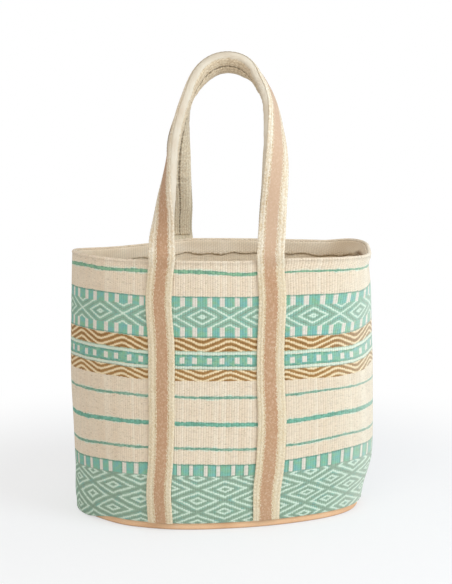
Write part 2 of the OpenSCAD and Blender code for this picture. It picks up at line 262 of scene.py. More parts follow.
class Num:
    """A number in a material's node tree. Arithmetic on it adds math nodes."""

    def __init__(self, tree, socket):
        self.tree, self.socket = tree, socket

    def op(self, operation, *others):
        node = self.tree.nodes.new("ShaderNodeMath")
        node.operation = operation
        for place, item in enumerate((self, *others)):
            if isinstance(item, Num):
                self.tree.links.new(item.socket, node.inputs[place])
            else:
                node.inputs[place].default_value = item
        return Num(self.tree, node.outputs[0])

    def __add__(self, other):
        return self.op("ADD", other)

    def __sub__(self, other):
        return self.op("SUBTRACT", other)

    def __mul__(self, other):
        return self.op("MULTIPLY", other)

    def __truediv__(self, other):
        return self.op("DIVIDE", other)

    __radd__, __rmul__ = __add__, __mul__

    def __rsub__(self, other):
        return self * -1 + other

    def abs(self):
        return self.op("ABSOLUTE")

    def floor(self):
        return self.op("FLOOR")

    def fold(self, half):
        """Distance to the nearest multiple of twice half."""
        return self.op("PINGPONG", half)

    def step(self, low, high):
        """0 below low, 1 above high and smooth between them."""
        node = self.tree.nodes.new("ShaderNodeMapRange")
        node.interpolation_type = "SMOOTHSTEP"
        self.tree.links.new(self.socket, node.inputs["Value"])
        node.inputs["From Min"].default_value = low
        node.inputs["From Max"].default_value = high
        return Num(self.tree, node.outputs["Result"])

    def ridge(self, top):
        """0 at each whole number, rising smoothly to 1 at top of the way to the next half."""
        return (self.fold(0.5) * 2).step(0.0, top)

    def near(self, middle, half, soft):
        """1 within half of middle, falling to 0 over soft on either side."""
        return 1 - (self - middle).abs().step(half - soft / 2, half + soft / 2)

    def between(self, low, high, soft=0.6):
        return self.near((low + high) / 2, (high - low) / 2, soft)


class Paint:
    """A material with a Principled shader, and short ways to build what feeds it."""

    def __init__(self, name, roughness, sheen=0.0, specular=0.3):
        self.material = bpy.data.materials.new(name)
        self.material.use_nodes = True
        self.tree = self.material.node_tree
        self.shader = self.tree.nodes["Principled BSDF"]
        self.shader.inputs["Roughness"].default_value = roughness
        self.shader.inputs["Sheen Weight"].default_value = sheen
        self.shader.inputs["Sheen Roughness"].default_value = 0.6
        self.shader.inputs["Specular IOR Level"].default_value = specular

    def add(self, kind):
        return self.tree.nodes.new("ShaderNode" + kind)

    def link(self, source, target):
        self.tree.links.new(getattr(source, "socket", source), target)

    def flat(self):
        """The two coordinates of the piece's own map, in millimetres."""
        chart, split = self.add("UVMap"), self.add("SeparateXYZ")
        chart.uv_map = "weave"
        self.link(chart.outputs[0], split.inputs[0])
        return [Num(self.tree, split.outputs[i]) * (1 / MM) for i in (0, 1)]

    def place(self):
        """Coordinates in the object's own frame, in metres."""
        return self.add("TexCoord").outputs["Object"]

    def vector(self, x, y, z=0.0):
        node = self.add("CombineXYZ")
        for item, socket in zip((x, y, z), node.inputs):
            if isinstance(item, Num):
                self.link(item, socket)
            else:
                socket.default_value = item
        return node.outputs[0]

    def noise(self, vector, scale, detail):
        node = self.add("TexNoise")
        self.link(vector, node.inputs["Vector"])
        node.inputs["Scale"].default_value = scale
        node.inputs["Detail"].default_value = detail
        return Num(self.tree, node.outputs[0])

    def clouds(self, x, y, detail):
        """Soft noise over a plane, with patches about one unit across."""
        return self.noise(self.vector(x, y), 1.0, detail)

    def chance(self, x, y):
        """A random number from 0 to 1 for each pair of x and y."""
        node = self.add("TexWhiteNoise")
        node.noise_dimensions = "2D"
        self.link(self.vector(x, y), node.inputs["Vector"])
        return Num(self.tree, node.outputs["Value"])

    def cells(self, vector, scale):
        node = self.add("TexVoronoi")
        self.link(vector, node.inputs["Vector"])
        node.inputs["Scale"].default_value = scale
        return Num(self.tree, node.outputs["Distance"])

    def mix(self, first, second, share, blend="MIX"):
        """One colour over another. Colours are sockets or (r, g, b, a), and share a Num."""
        node = self.add("Mix")
        node.data_type, node.blend_type = "RGBA", blend
        if isinstance(share, Num):
            self.link(share, node.inputs[0])
        else:
            node.inputs[0].default_value = share
        for item, socket in ((first, node.inputs[6]), (second, node.inputs[7])):
            if isinstance(item, tuple):
                socket.default_value = item
            else:
                self.link(item, socket)
        return node.outputs[2]

    def over(self, colour, *layers):
        """Colours laid over one another, each as a pair of a colour and its share."""
        for top, share in layers:
            colour = self.mix(colour, top, share)
        return colour

    def shade(self, colour, value):
        """A colour made darker or lighter by a Num near 1."""
        grey = self.vector(value, value, value)
        return self.mix(colour, grey, 1.0, "MULTIPLY")

    def finish(self, colour, height, depth_mm, roughness=None):
        """Joins up colour and bump. height runs from 0 to 1 over depth_mm."""
        self.link(colour, self.shader.inputs["Base Color"])
        bump = self.add("Bump")
        bump.inputs["Strength"].default_value = 1.0
        bump.inputs["Distance"].default_value = depth_mm * MM
        self.link(height, bump.inputs["Height"])
        self.link(bump.outputs[0], self.shader.inputs["Normal"])
        if roughness is not None:
            self.link(roughness, self.shader.inputs["Roughness"])
        return self.material


# Colours of the yarns.
CREAM = paint(230, 213, 188)
CREAM_PINK = paint(224, 203, 176)
CREAM_PALE = paint(236, 225, 204)
TURQUOISE = paint(122, 182, 158)
TEAL = paint(126, 180, 174)
LEAF = paint(140, 184, 148)
SEA_GREEN = paint(146, 180, 156)
GREY_GREEN = paint(136, 156, 136)
BED_GREEN = paint(150, 176, 152)
MINT = paint(206, 224, 205)
DEEP_GREEN = paint(96, 142, 120)
BAR_GAP = paint(222, 214, 199)
OCHRE = paint(174, 132, 78)
DARK_OCHRE = paint(140, 102, 56)
GOLD = paint(232, 210, 170)
OLIVE = paint(186, 166, 132)
INSIDE = paint(248, 228, 198)
# painted light, laid over the right end of the cloth
RIGHT_END_LIGHT = paint(238, 232, 214)

# Heights in the weave, in millimetres above the ground, and their half widths.
BAND_MID, BAND_HALF, BAND_CORE = 277.0, 26.4, 13.4
LOWER_TOP, LOWER_BARS = 86.2, 71.0
LOWER_MID, LOWER_HALF = 39.6, 14.3
HALF_REPEAT = REPEAT_RIBS * RIB / 2
LATTICE_HALF = 11.2 * RIB        # half of one repeat of the lower lattice
CENTRE = ROUND / 4 - 5.5 * RIB   # arc length of a diamond's middle, from the left seam
CELL = 2.1                       # height of one stitch of the weave


def diagonal_colours(p, colour, d, lines, dark, ground, area, half):
    """Pale and dark lines of a diamond lattice, laid over colour where area is 1."""
    pale_share = sum(d.near(line, half, half) for line in lines)
    dark_share = sum(d.near(line, half * 0.7, half) for line in dark)
    lattice = p.over(ground, (GREY_GREEN, dark_share * 0.8), (MINT, pale_share))
    return p.mix(colour, lattice, area)


def bar_gaps(reach):
    """Share of the pale gaps, two in each half of the repeat, between upright bars."""
    return sum(reach.near(gap * RIB, RIB - 0.3, 1.0) for gap in (3, 8))


def bars_of(p, reach, dye, speck):
    """Upright bars with pale gaps between them, and dark outlines."""
    outline = sum((reach - gap * RIB).abs().near(RIB, 0.45, 0.8) for gap in (3, 8))
    bars = p.mix(dye, BAR_GAP, bar_gaps(reach))
    return p.mix(bars, DEEP_GREEN, outline * (speck * 0.4 + 0.4))


def weave_material(name, inside=False):
    """The patterned cloth. Inside, the same pattern shows as its pale reverse."""
    p = Paint(name, roughness=0.88, sheen=0.12, specular=0.2)
    u, z = p.flat()
    rib = (u / RIB).floor()
    odd = rib.fold(1)
    wander = p.clouds(u * 0.022, z * 0.03, 1.0) - 0.5
    jitter = p.chance(rib, 3.0) - 0.5
    z = z + wander * 3.0 + jitter * 0.5
    row = (z / CELL + odd * 0.5).floor()
    speck = p.chance(rib, row)
    across = rib * RIB + RIB / 2
    zc = z * 0.75 + (row - odd * 0.5 + 0.5) * (CELL * 0.25)
    bent_across = across * 0.45 + u * 0.55
    reach = (bent_across - CENTRE).fold(HALF_REPEAT)
    blotch = p.clouds(u * 0.09, z * 0.12, 2.0)
    streak = p.chance(rib, 11.0)
    mottle = p.clouds(u * 0.012, z * 0.03, 3.0)
    broken = p.clouds(u * 0.11, z * 0.02, 1.0)

    # cream ground with rib-wide streaks and a few short dark slubs
    slub = p.clouds(u * 0.22, z * 1.1, 1.0)
    colour = p.over(
        CREAM,
        (CREAM_PINK, (streak * 0.4 + mottle * 0.9 - 0.2).step(0.1, 0.9)),
        (CREAM_PALE, streak.near(0.9, 0.1, 0.1) * 0.45),
        (OLIVE, slub.step(0.64, 0.71)),
    )

    # plain stripes: middle, half height and colour. The top one is thinner on the right.
    thin_right = (u - SIDE).between(60, 330, 60)
    for middle, half, tone in (
        (331.8, 2.3, LEAF), (174.7, 1.6, SEA_GREEN),
        (138.6, 2.8, TURQUOISE), (105.6, 1.6, SEA_GREEN),
    ):
        rim = (zc - middle).abs() - (broken - 0.5) * 2.0
        if middle > 300:
            rim = rim + thin_right
        fringe = 1 - (rim - 1.6).step(half - 0.5, half + 0.5)
        inner = p.over(tone, (DEEP_GREEN, (speck * 0.7 + blotch).step(0.65, 1.1) * 0.7),
                       (DEEP_GREEN, rim.near(half - 0.3, 0.5, 0.6) * 0.4))
        colour = p.over(colour, (MINT, fringe * blotch.step(0.4, 0.7) * 0.8),
                        (inner, 1 - rim.step(half - 0.5, half + 0.5)))

    dye = p.over(LEAF, (TEAL, blotch.step(0.38, 0.62)), (TURQUOISE, speck.step(0.2, 0.8) * 0.7))
    bars = bars_of(p, reach, dye, speck)

    # upper band: bars above and below a row of diamonds
    rise = (zc - BAND_MID).abs()
    border = rise.step(BAND_HALF - 2.4, BAND_HALF - 1.2) * (speck * 0.4 + 0.5)
    band = p.mix(bars, DEEP_GREEN, border)
    colour = p.mix(colour, band, 1 - rise.step(BAND_HALF - 0.5, BAND_HALF + 0.5))
    quarter = HALF_REPEAT / 2
    d = reach + rise / 0.55
    ground = p.mix(SEA_GREEN, dye, blotch.step(0.45, 0.75) * 0.6 + speck * 0.2)
    core = 1 - rise.step(BAND_CORE - 0.5, BAND_CORE + 0.5)
    lines = [0.22 * quarter, quarter, 2 * quarter, 3 * quarter]
    dark = [0.6 * quarter, 1.5 * quarter, 2.5 * quarter]
    colour = diagonal_colours(p, colour, d, lines, dark, ground, core, 2.3)

    # two zigzag bands with a turquoise band of pale squares between them
    for low, high, pale, pitch in ((233.2, 250.4, 240.4, 7.2), (195.6, 210.2, 201.0, 6.5)):
        slope = 2 * pitch / HALF_REPEAT
        bent = reach.op("SMOOTH_MAX", 3.0, 3.0).op("SMOOTH_MIN", 31.7, 3.0)
        wave = (zc - bent * slope - pale).fold(pitch / 2)
        zigzag = p.over(OCHRE, (DARK_OCHRE, (wave + speck * 0.7 + blotch).step(3.0, 4.4)),
                        (GOLD, 1 - wave.step(0.9, 1.8)))
        colour = p.mix(colour, zigzag, zc.between(low, high, 0.8))
    dim = (speck * 0.5 + blotch * 0.6 + zc.between(214, 216.6) * 0.3).step(0.55, 0.95)
    squares = p.over(dye, (DEEP_GREEN, dim * 0.7),
                     (BAR_GAP, bar_gaps(reach) * zc.between(217.4, 225.2, 1.4)))
    edge = zc + (broken - 0.5) * 1.6
    colour = p.over(
        colour,
        (squares, zc.between(214.0, 229.0, 0.8)),
        (MINT, edge.between(229.4, 232.2) * 0.85),
        (DEEP_GREEN, edge.between(226.8, 228.4) * speck.step(0.1, 0.6) * 0.8),
        (MINT, edge.between(211.0, 213.6) * 0.8),
        (GREY_GREEN, edge.between(209.6, 210.8) * 0.8),
        (SEA_GREEN, edge.between(232.2, 233.6) * 0.7),
    )

    # lower band: a row of bars over a lattice of diamonds
    from_left = 1 - u.step(95, 220) + u.step(ROUND - 140, ROUND)
    low_reach = (bent_across - CENTRE + 1.8 + from_left * 11.5).fold(HALF_REPEAT)
    low_edge = zc.near(LOWER_TOP - 0.9, 0.9, 0.8) * (speck * 0.3 + 0.6)
    low_bars = p.mix(bars_of(p, low_reach, dye, speck), DEEP_GREEN, low_edge)
    colour = p.mix(colour, low_bars, 1 - zc.step(LOWER_TOP - 0.5, LOWER_TOP + 0.5))
    bed = (zc - LOWER_MID).fold(LOWER_HALF)
    past_right = u.between(395, 470, 60) * 6.0
    lattice_reach = (bent_across - CENTRE + 3.0 + from_left * 15.0 + past_right).fold(LATTICE_HALF)
    d = (lattice_reach / LATTICE_HALF + bed / LOWER_HALF).fold(1)
    core = 1 - zc.step(LOWER_BARS - 0.5, LOWER_BARS + 0.5)
    dark = [0.02, 0.47, 0.98]
    bed_green = p.mix(BED_GREEN, dye, blotch.step(0.5, 0.75) * 0.8 + speck * 0.1)
    colour = diagonal_colours(p, colour, d + (blotch - 0.5) * 0.12, [0.25, 0.72], dark,
                              bed_green, core, 0.085)
    colour = p.mix(colour, GREY_GREEN, zc.near(LOWER_BARS, 0.5, 0.6) * 0.7)

    # painted light: the right end, where the key light falls strongly, is painted paler
    colour = p.mix(colour, RIGHT_END_LIGHT, u.near(2 * SIDE, 75, 110) * 0.3)
    if inside:
        colour = p.mix(colour, INSIDE, 0.6)

    # stitches: each yarn crosses one rib and dips between its neighbours
    fibre = p.clouds(u * 1.1, z * 5.0, 3.0)
    crown = (z / CELL + odd * 0.5).ridge(0.7)
    side = (u / RIB).ridge(0.55)
    crease = p.clouds(u * 0.045, z * 0.42, 2.0).step(0.54, 0.70)
    height = crown * side * 0.5 + fibre * 0.3 + speck * 0.15 - crease * 0.4
    # painted shade: the tone darkens in the hollows between ribs and stitches and in the creases;
    # speck, fibre and streak add random tone
    tone = side * 0.04 + crown * 0.04 + speck * 0.08 + fibre * 0.12 + streak * 0.03 - crease * 0.07
    tone = tone + 0.84
    return p.finish(p.shade(colour, tone), height, 0.4)


TWILL = 1.3              # pitch of the ribs of a twill tape


def plain_weave(p, u, v, pitch):
    """Height of a fine plain weave, with its fibres, from two coordinates in millimetres."""
    over = ((u / pitch).floor() + (v / pitch).floor()).fold(1)
    yarns = (u / pitch).ridge(0.8) * over + (v / pitch).ridge(0.8) * (1 - over)
    fibre = p.clouds(u * 1.7, v * 1.7, 4.0)
    return yarns * 0.7 + fibre * 0.3


def canvas_material(name, colour, darker, pitch):
    """Plain cotton canvas, a little mottled."""
    p = Paint(name, roughness=0.9, sheen=0.15, specular=0.2)
    u, v = p.flat()
    height = plain_weave(p, u, v, pitch)
    mottle = p.clouds(u * 0.05, v * 0.05, 4.0)
    slub = p.clouds(u * 0.9, v * 0.06, 2.0)
    base = p.mix(colour, darker, (mottle * 0.7 + slub * 0.5).step(0.35, 0.95))
    # painted shade: the colour darkens in the hollows of the weave; the darker colour is a random
    # mottle
    return p.finish(p.shade(base, height * 0.22 + 0.82), height, 0.25)


def tape_material(name, colour, darker):
    """Cotton twill tape with fine ribs across it."""
    p = Paint(name, roughness=0.9, sheen=0.12, specular=0.2)
    u, v = p.flat()
    fibre = p.clouds(u * 1.5, v * 1.5, 4.0)
    worn = p.clouds(u * 0.04, v * 0.09, 3.0)
    height = ((u + v * 0.6) / TWILL).ridge(0.9) * 0.6 + fibre * 0.4
    base = p.mix(colour, darker, worn.step(0.35, 0.75))
    # painted shade: the colour darkens between the twill's ribs; the darker colour marks random worn
    # patches
    return p.finish(p.shade(base, height * 0.26 + 0.80), height, 0.25)


def hem_material():
    """Reverse of the woven cloth, turned over the rim: ribs in an olive cream."""
    p = Paint("rim_hem_cloth", roughness=0.9, sheen=0.12, specular=0.2)
    u, v = p.flat()
    rib = (u / RIB).floor()
    side = (u / RIB).ridge(0.6)
    crown = (v / CELL + rib.fold(1) * 0.5).ridge(0.7)
    fibre = p.clouds(u * 1.4, v * 1.4, 3.0)
    worn = p.clouds(u * 0.03, v * 0.05, 3.0)
    height = crown * side * 0.65 + fibre * 0.35
    ragged = v - (p.clouds(u * 0.25, 0.0, 2.0) - 0.5) * 5.0
    corner = u.near(2 * SIDE + 34, 34, 40)
    base = p.over(
        paint(252, 236, 212),
        (paint(242, 222, 194), (worn + fibre * 0.3).step(0.4, 0.85)),
        # painted shadow: the lowest strip of the hem, along its lower edge, is painted darker
        (paint(186, 160, 124), 1 - ragged.step(327.4, 330.0)),
        # painted shadow, deeper and wider, in the right inner corner under the hem
        (paint(150, 122, 92), (1 - (ragged - corner * 7.0).step(326.0, 331.0)) * corner),
    )
    # painted shade: darker in the hollows between ribs and stitches
    return p.finish(p.shade(base, height * 0.2 + 0.88), height, 0.4)


# A strap's colours across its width, from its outer edge to its inner edge.
TAN_FROM, TAN_TO = -6.2, 8.2
SELVEDGE_PITCH = 4.8
KNOT = 1.6               # pitch of the small knots of its tan stripe
CORD, TWIST = 4.4, 5.2   # width of one cord of its cream edges, and the length of one twist


def corded_edge(p, s, along, light, dark):
    """Colour and height of thick twisted cords side by side, and the wave of their twist."""
    loose = p.clouds(s * 0.35, along * 0.3, 2.0)
    slip = p.clouds(s * 0.14, along * 0.10, 2.0)
    across = s + (loose - 0.5) * 4.0
    hand = (across / CORD).floor().fold(1) * 2 - 1
    round_cord = (across / CORD).ridge(0.8)
    wave = (along / TWIST + slip * 4.5).fold(0.5) * 2
    strand = (along / TWIST + across / CORD * hand * 0.3 + slip * 4.5).ridge(0.9)
    rough = p.clouds(s * 0.45, along * 0.3, 3.0)
    # painted shade in the hollows between the strands and between the cords, with random rough
    # patches
    darker = (1 - strand) * 0.3 + (1 - round_cord) * 0.25 + rough.step(0.38, 0.62) * 0.5
    return p.mix(light, dark, darker), round_cord * (strand * 0.6 + 0.4), wave


def webbing_material(loop):
    """Cotton webbing: a tan stripe between two cream edges of thicker, corded yarn. loop is
    the length of a handle, whose right leg is painted paler, as painted light."""
    p = Paint("striped_webbing", roughness=0.88, sheen=0.14, specular=0.2)
    s, along = p.flat()
    fibre = p.clouds(s * 1.6, along * 1.6, 4.0)

    # tan stripe: flat rows of small knots
    row = (along / KNOT).floor()
    knot_across = s / KNOT + row.fold(1) * 0.5
    column = knot_across.floor()
    knot = p.chance(column, row)
    fine = (along / KNOT).ridge(0.7) * knot_across.ridge(0.6) * 0.5 + fibre * 0.4
    worn = p.clouds(s * 0.12, along * 0.02, 3.0)
    patch = p.clouds(s * 0.3, along * 0.12, 2.0)
    blot = p.clouds(s * 0.45, along * 0.3, 3.0)
    tan = p.over(
        paint(208, 167, 132),
        (paint(190, 145, 108), knot * 0.5 + worn * 0.5),
        (paint(182, 140, 96), blot.step(0.5, 0.7) * 0.5),
        (paint(236, 210, 186), (1 - blot.step(0.3, 0.48)) * 0.4),
        (paint(226, 196, 166), knot.step(0.84, 0.95) * 0.5),
        (paint(186, 148, 108), patch.step(0.5, 0.75) * 0.35),
        # painted light: the tan is paler along the right leg of each handle
        (paint(232, 204, 176), along.between(loop - 235, loop + 5, 60) * 0.5),
    )

    # cream edges, with a row of darker beads where they meet the tan
    cords_light, cords_dark = paint(242, 230, 208), paint(220, 194, 154)
    cream, cords, wave = corded_edge(p, s, along, cords_light, cords_dark)
    bright = p.clouds(s * 0.2, along * 0.035, 2.0)
    # painted shade: the cream edges are painted darker along the sewn straps on the body
    sewn = 1 - along.between(-10, loop + 10, 40)
    beads = sum((s - row_at).abs().near(0.0, 0.8, 1.0) for row_at in (TAN_FROM - 1.2, TAN_TO + 1.2))
    cream = p.over(
        cream,
        (paint(244, 237, 220), bright.step(0.4, 0.7) * 0.4),
        (paint(222, 202, 162), sewn * 0.45),
        (paint(188, 150, 104), beads * (1 - wave).step(0.3, 0.9) * 0.8),
    )
    edge = (wave - 0.5) * 1.6
    tan_share = (s + edge).step(TAN_FROM - 0.5, TAN_FROM + 0.5)
    tan_share = tan_share * (1 - (s - edge).step(TAN_TO - 0.5, TAN_TO + 0.5))
    colour = p.over(cream, (tan, tan_share), (paint(222, 208, 180), s.step(20, 24)))
    height = (cords * 0.7 + fibre * 0.3) * (1 - tan_share) + fine * tan_share * 0.6
    # painted shade: darker in the hollows of the cords and knots; fibre adds random tone
    tone = height * 0.14 + fibre * 0.08 + 0.84
    return p.finish(p.shade(colour, tone), height, 0.5)


def pad_material(name, half_girth, cord_width, light, dark):
    """Canvas round the padding: smooth sides, and corded edges that meet in a seam along the
    middle of its inner face, half_girth away from the middle of its outer face."""
    p = Paint(name, roughness=0.9, sheen=0.15, specular=0.2)
    s, along = p.flat()
    weave = plain_weave(p, s, along, 1.0)
    mottle = p.clouds(s * 0.05, along * 0.03, 4.0)
    loose = p.clouds(s * 0.4, along * 0.25, 2.0)
    seam_off = half_girth - s.abs()
    side = p.mix(paint(240, 228, 206), paint(230, 212, 186), mottle.step(0.35, 0.75))
    inner, cords, wave = corded_edge(p, seam_off, along, light, dark)
    edge = seam_off + (wave - 0.5) * 1.6 + (loose - 0.5) * 3.0
    edge = edge.step(cord_width - 0.8, cord_width + 1.2)
    colour = p.mix(inner, side, edge)
    seam = 1 - (seam_off - (loose - 0.5) * 3.6).step(0.6, 2.0)
    gaps = p.clouds(3.0, along * 0.3, 1.0).step(0.35, 0.6)
    colour = p.mix(colour, paint(112, 92, 64), seam * (gaps * 0.55 + 0.25))
    height = weave * edge * 0.35 + (cords * 0.8 + 0.2) * (1 - edge) * (1 - seam * 0.8)
    # painted shade: darker in the hollows of the weave and the cords
    return p.finish(p.shade(colour, height * 0.14 + 0.87), height, 0.5)


def leather_material():
    """Vegetable-tanned leather, with fine grain, darker towards its lower edge and underside."""
    p = Paint("tan_leather", roughness=0.5, specular=0.4)
    v = p.flat()[1]
    place = p.place()
    pores = p.cells(place, 900.0)
    grain = p.noise(place, 420.0, 5.0)
    cloud = p.noise(place, 16.0, 4.0)
    scuff = p.noise(place, 70.0, 6.0)
    base = p.over(
        paint(244, 200, 158),
        (paint(228, 179, 136), cloud.step(0.35, 0.7)),
        (paint(190, 146, 108), (1 - pores.step(0.1, 0.35)) * 0.35),
        (paint(232, 206, 180), scuff.step(0.58, 0.72) * 0.35),
        (paint(176, 132, 96), (1 - v.step(0.6, 3.0)) * 0.5),
    )
    return p.finish(base, grain * 0.6 + pores * 0.4, 0.12, roughness=scuff * 0.3 + 0.36)


def board_material():
    """Grey fibreboard with flecks."""
    p = Paint("fibreboard", roughness=0.85, specular=0.25)
    place = p.place()
    fibre = p.noise(place, 260.0, 6.0)
    fleck = p.cells(place, 330.0)
    base = p.over(paint(150, 138, 120), (paint(118, 106, 90), fibre.step(0.35, 0.7)),
                  (paint(196, 184, 160), (1 - fleck.step(0.05, 0.25)) * 0.5))
    return p.finish(base, fibre, 0.2)


def thread_material():
    """Twisted cotton sewing thread."""
    p = Paint("cotton_thread", roughness=0.75, sheen=0.1, specular=0.3)
    u, v = p.flat()
    twist = ((u * 0.8 + v) / 0.9).fold(0.5) * 2
    base = p.mix(paint(244, 232, 206), paint(212, 190, 152), twist.step(0.2, 0.9))
    return p.finish(base, twist, 0.15)


outside_weave = weave_material("woven_cloth_outside")
inside_weave = weave_material("woven_cloth_inside", inside=True)
hem_cloth = hem_material()
seam_tape = tape_material("seam_tape", paint(212, 200, 170), paint(188, 174, 142))
lining_canvas = canvas_material("lining_canvas", paint(214, 204, 180), paint(192, 180, 152), 0.9)
leather = leather_material()
fibreboard = board_material()
thread = thread_material()


# ---------------------------------------------------------------- woven cloth
def skewed(u, z):
    """Height in the pattern at a point of the cloth: the pattern climbs towards the right,
    and no row of it is quite level."""
    wave = np.sin(2 * np.pi * u / ROUND)
    climb = 0.005 + 0.05 * eased((185 - z) / 110)
    level = z + 2.2 * eased((210 - z) / 150) - climb * 165.5 * np.where(wave > 0, wave, wave * 0.3)
    beside = np.exp(-((u + 75) / 110) ** 2) * eased((190 - z) / 90)
    swayed = 7.6 * beside * (1 - 0.4 * eased((60 - z) / 40))
    towards_back = eased((2 * SIDE - 60 - u) / 200)
    right = 7.0 * eased((u - 50) / 120) * eased((198 - z) / 25) * eased((z - 65) / 45)
    corner = 7.0 * eased((u - 180) / 60) * eased((z - 185) / 20) * eased((330 - z) / 20)
    left_seam = eased((u + SIDE) / 60)
    top = 3.5 * eased((z - 312) / 12) * eased((45 - u) / 80) * left_seam
    left = 2.0 * eased((-90 - u) / 60) * eased((z - 185) / 20) * eased((320 - z) / 15) * left_seam
    return level - swayed - (right + corner) * towards_back - top - left


def cloth_drop(u, z):
    """How far the lower edge of the cloth hangs over the leather at the left end."""
    from_left = np.abs((u + SIDE + ROUND / 2) % ROUND - ROUND / 2)
    return 9.0 * eased((125 - from_left) / 60) * eased((50 - z) / 36)


RIB_HEIGHT = 0.45
TOP = RIM_Z - 2.2        # where the outer face turns into the rolled rim


def cloth_profile():
    """Section of the cloth, bottom edge to rim to bottom edge, as (z, off, rib share)."""
    rows = CLOTH_Z + 1.6 + (TOP - CLOTH_Z - 1.6) * np.linspace(0, 1, 80)
    outer = [(z, 0.0, 1.0) for z in rows]
    curl = [(CLOTH_Z + 0.9, -3.9, 0.0), (CLOTH_Z, -3.2, 0.0), (CLOTH_Z, -1.3, 0.3),
            (CLOTH_Z + 0.5, -0.4, 0.7)]
    turn = np.radians(np.arange(0, 181, 22.5))
    roll = [(TOP + 0.4 + 2.7 * math.sin(a), 2.6 * math.cos(a) - 1.9, 0.8) for a in turn]
    inner = [(z, -WALL + 0.1, 0.35) for z in rows[::-2]]
    return np.array(curl + outer + roll + inner)


def woven_panel(name, node, start):
    """Half of the body, from the side seam at arc length start."""
    z, off, share = cloth_profile().T
    columns = 4 * RIBS // 2 + 1
    u = start + np.linspace(0, ROUND / 2, columns)
    relief = RIB_HEIGHT * rib_relief(u)[None, :] * share[:, None]
    relief = relief * np.where(off < -3, -0.6, 1.0)[:, None]
    hung = z[:, None] - cloth_drop(u[None, :], z[:, None])
    grid = body(u[None, :], hung, off[:, None] + relief)
    chart = chart_of(u + SIDE, skewed(u[None, :], np.append(z, z[0])[:, None]))
    next_off, next_z = np.roll(off, -1), np.roll(z, -1)
    inner = ((off + next_off) / 2 < -2.4) & ((z + next_z) / 2 < TOP)
    piece = grid_piece(name, grid, chart, (outside_weave, inside_weave), roll_rows=True,
                       row_choice=inner.astype(int))
    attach(piece, "bag")
    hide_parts(node)
    return piece


woven_front = woven_panel("woven_body_front", "woven_front_panel", -SIDE)
woven_back = woven_panel("woven_body_back", "woven_back_panel", SIDE)


# ---------------------------------------------------------------- tapes on the inside
def strip_piece(name, profile, u, columns, material, shift=None):
    """A closed band along the body. profile goes round its section as (z, off) points, and
    shift gives how far each point moves up, for a wavy edge."""
    z, off = np.array(profile, float).T
    whole = abs(u[1] - u[0] - ROUND) < 0.01
    charted = np.linspace(*u, columns + 1)
    arc = charted[:-1] if whole else charted
    heights = z[:, None] + (0 if shift is None else shift(arc[None, :], z[:, None]))
    heights = heights + np.zeros((1, len(arc)))
    chart = chart_of(charted + SIDE, np.append(z, z[0])[:, None])
    return grid_piece(name, body(arc, heights, off[:, None]), chart, (material,),
                      roll_rows=True, roll_cols=whole)


def hem_shift(u, z):
    """The hem's lower edge wanders up and down where the stitches pull it."""
    low = eased((332 - z) / 5)
    return low * (1.1 * np.sin(u / 5.3) + 0.9 * np.sin(u / 13.1 + 1.2) + 0.8 * np.sin(u / 31.0))


hem_profile = (
    [(z, -5.9) for z in (328.0, 329.0, 331.0, 334.0, 338.0, 342.0, 345.0)]
    + [(346.0, -5.5), (346.0, -4.4)]
    + [(z, -4.2) for z in (342.0, 336.0, 330.0)]
    + [(327.6, -4.3), (327.2, -5.0), (327.5, -5.6)]
)
rim_hem = strip_piece("rim_hem", hem_profile, (0, ROUND), 990, hem_cloth, hem_shift)
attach(rim_hem, "bag")
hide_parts("rim_tape")

tape_rows = np.linspace(25.0, 327.6, 90)
tape_profile = [(z, -5.7) for z in tape_rows] + [(z, -4.25) for z in tape_rows[::-1]]
for name, middle, node in (
    ("side_tape_left", -SIDE, "side_seam_tape_left"),
    ("side_tape_right", SIDE, "side_seam_tape_right"),
):
    tape = strip_piece(name, tape_profile, (middle - 10, middle + 10), 20, seam_tape)
    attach(tape, "bag")
    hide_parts(node)


# ---------------------------------------------------------------- base
BASE_COLUMNS = 480
base_arc = np.linspace(0, ROUND, BASE_COLUMNS + 1)[:-1]


def disc_rings(z, off, count, sink=0.0):
    """Rings from a point of the rim of a flat oval to its middle, at one height."""
    edge = body(base_arc, z, off)
    middle = edge.mean(0)
    rings = []
    for share in np.linspace(1, 0.02, count):
        ring = middle + (edge - middle) * share
        ring[:, 2] = z + sink * (1 - share ** 2)
        rings.append(ring)
    return rings


def base_piece(name, rings, material, nodes, upright=False):
    """A closed solid from rings of points that start and end near its middle line. Its chart
    is seen from above, or runs along and up its edge where it is upright."""
    points = np.stack(rings)
    above = np.concatenate([points, points[:, :1]], 1)[..., :2] + 300
    along = np.arange(BASE_COLUMNS + 1) * (ROUND / BASE_COLUMNS)
    heights = np.concatenate([points, points[:, :1]], 1)[..., 2]
    chart = chart_of(along, heights) if upright else above
    piece = grid_piece(name, points, chart, (material,), roll_cols=True, end_chart=above)
    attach(piece, "bag")
    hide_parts(*nodes)
    return piece


# Leather: underside, rounded edge, plain strip, and behind the cloth up to its top edge.
leather_rings = disc_rings(0.0, -8.2, 9, 0.8)[::-1]
for angle in np.radians((20, 40, 60, 80)):
    leather_rings.append(body(base_arc, 3.6 - 3.6 * math.cos(angle), -8.0 + 3.6 * math.sin(angle)))
for z, off in ((5.0, -4.2), (7.0, -4.0), (9.0, -4.2), (11.0, -4.5), (17.0, -4.6), (23.4, -4.6),
               (24.0, -5.0), (24.0, -6.4), (23.4, -6.8), (14.0, -6.8), (6.0, -6.9), (2.8, -7.6)):
    leather_rings.append(body(base_arc, z, off))
leather_rings += disc_rings(2.6, -9.0, 7)
base_piece("leather_base", leather_rings, leather, ("leather_sole", "leather_band"),
           upright=True)

board_rings = disc_rings(2.75, -8.0, 6)[::-1]
board_rings += [body(base_arc, 3.2, -7.5), body(base_arc, 5.0, -7.5)]
board_rings += disc_rings(5.4, -8.0, 6)
base_piece("base_board_oval", board_rings, fibreboard, ("base_board",))

